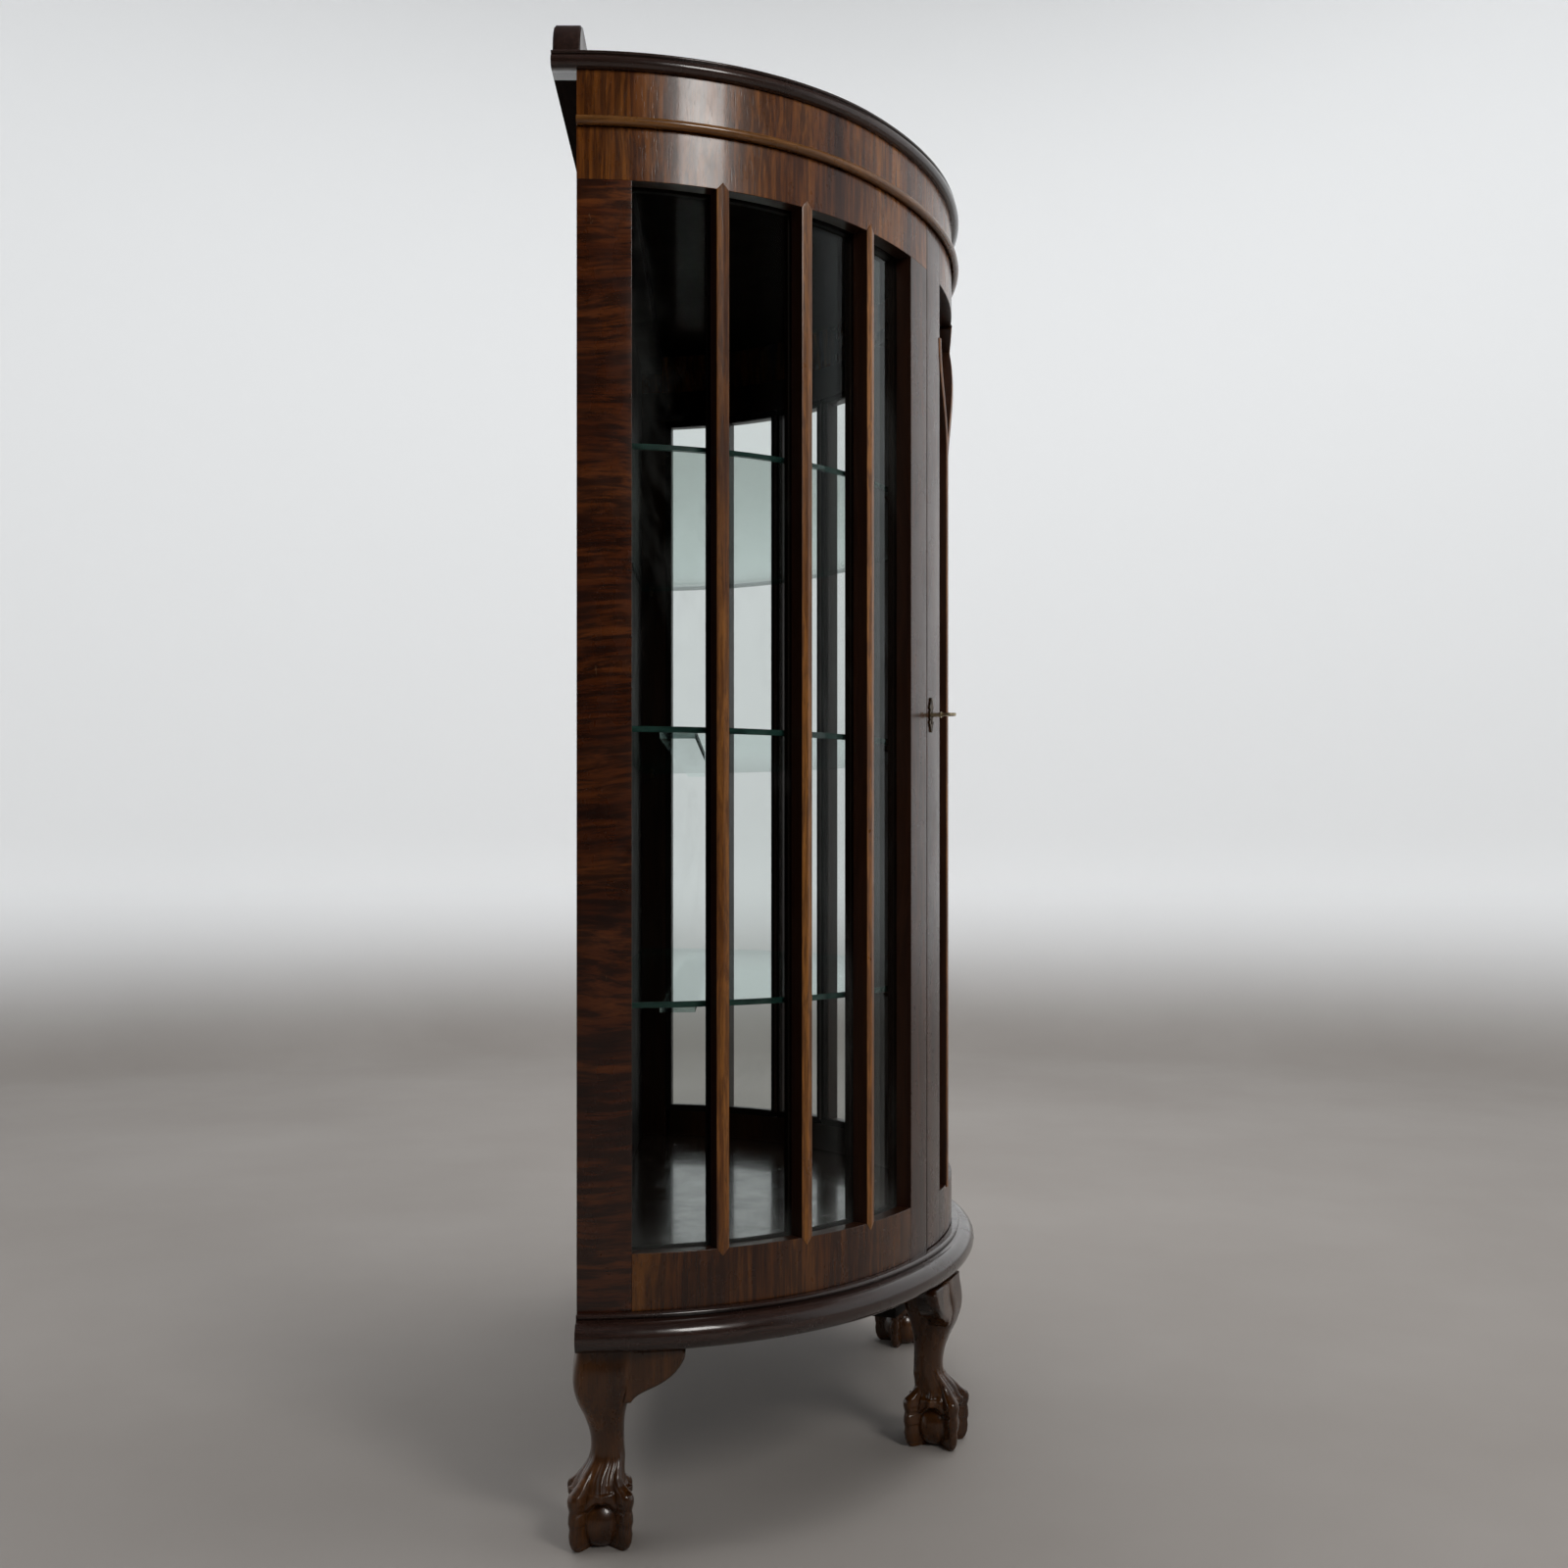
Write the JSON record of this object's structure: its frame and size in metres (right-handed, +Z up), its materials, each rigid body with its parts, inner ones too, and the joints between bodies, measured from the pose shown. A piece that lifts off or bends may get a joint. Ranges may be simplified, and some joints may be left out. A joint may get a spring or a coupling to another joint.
{
  "type": "china cabinet",
  "caption": "Half-oval walnut display cabinet with a bowed glazed door, barred glass ends, glass shelves, a rear upstand and cabriole legs with ball-and-claw feet",
  "frame": {"origin": "on the floor, under the middle of the bounding box", "axes": "+Z up, -Y out of the front, +X towards the hinged side of the door"},
  "size_m": [0.886, 0.386, 1.224],
  "materials": {
    "walnut_rails": "french polished veneer, upright grain",
    "walnut_posts": "french polished veneer, figured",
    "dark_moulding": "dark stained, satin gloss",
    "golden_bars": "golden walnut, satin gloss",
    "carved_legs": "stained and waxed",
    "dark_interior": "dark stained",
    "pane_glass": "clear",
    "shelf_glass": "clear, green edges",
    "aged_brass": "aged",
    "key_metal": "worn",
    "nail_steel": "dull"
  },
  "bodies": {
    "carcase": {"top_board": "dark_moulding", "top_edge": "dark_moulding", "upstand": "dark_moulding", "frieze": "walnut_rails", "frieze_bead": "golden_bars", "rear_top_rail": "dark_interior", "rear_base_rail": "dark_interior", "back_panel": "dark_interior", "back_panel_nails": "nail_steel", "floor_board": "dark_interior", "base_moulding": "dark_moulding", "door_stop": "dark_interior", "left_rear_post": "walnut_posts", "left_front_stile": "walnut_posts", "left_top_rail": "walnut_rails", "left_bottom_rail": "walnut_rails", "left_glazing_bars": "golden_bars", "left_glass": "pane_glass", "left_glazing_beads": "dark_interior", "right_rear_post": "walnut_posts", "right_front_stile": "walnut_posts", "right_top_rail": "walnut_rails", "right_bottom_rail": "walnut_rails", "right_glazing_bars": "golden_bars", "right_glass": "pane_glass", "right_glazing_beads": "dark_interior", "top_shelf": "shelf_glass", "middle_shelf": "shelf_glass", "bottom_shelf": "shelf_glass", "shelf_strips": "shelf_glass", "shelf_pins": "aged_brass", "rear_left_leg": "carved_legs", "front_left_leg": "carved_legs", "front_right_leg": "carved_legs", "rear_right_leg": "carved_legs", "rear_left_ear": "carved_legs", "front_left_ear": "carved_legs", "front_right_ear": "carved_legs", "rear_right_ear": "carved_legs", "leg_blocks": "dark_interior", "bolt_keeper": "aged_brass", "frame_hinge_leaves": "aged_brass", "hinge_pins": "aged_brass", "frame_hinge_screws": "aged_brass"},
    "door": {"door_lock_stile": "walnut_posts", "door_hinge_stile": "walnut_posts", "door_top_rail": "walnut_rails", "door_bottom_rail": "walnut_rails", "door_astragals": "golden_bars", "door_glass": "pane_glass", "door_glazing_beads": "dark_interior", "door_hinge_leaves": "aged_brass", "door_hinge_screws": "aged_brass", "escutcheon": "aged_brass", "lock_case": "aged_brass"},
    "lock_bolt": {"lock_bolt": "aged_brass"},
    "key": {"key": "key_metal"}
  },
  "joints": [
    {"name": "door_swing", "type": "hinge", "parent": "carcase", "child": "door", "pos_m": [0.20263, -0.13129, 0.658], "axis": [0, 0, 1], "range_deg": [0, 110]},
    {"name": "key_turn", "type": "hinge", "parent": "door", "child": "key", "pos_m": [-0.19107, -0.13239, 0.679], "axis": [-0.3883, -0.9215, 0], "range_deg": [0, 180]},
    {"name": "bolt_slide", "type": "slide", "parent": "door", "child": "lock_bolt", "axis": [-0.9215, 0.3883, 0], "range_m": [0, 0.008]}
  ],
  "couplings": [
    {"joint": "key_turn", "follows": "bolt_slide", "rad_per_m": 392.7}
  ]
}
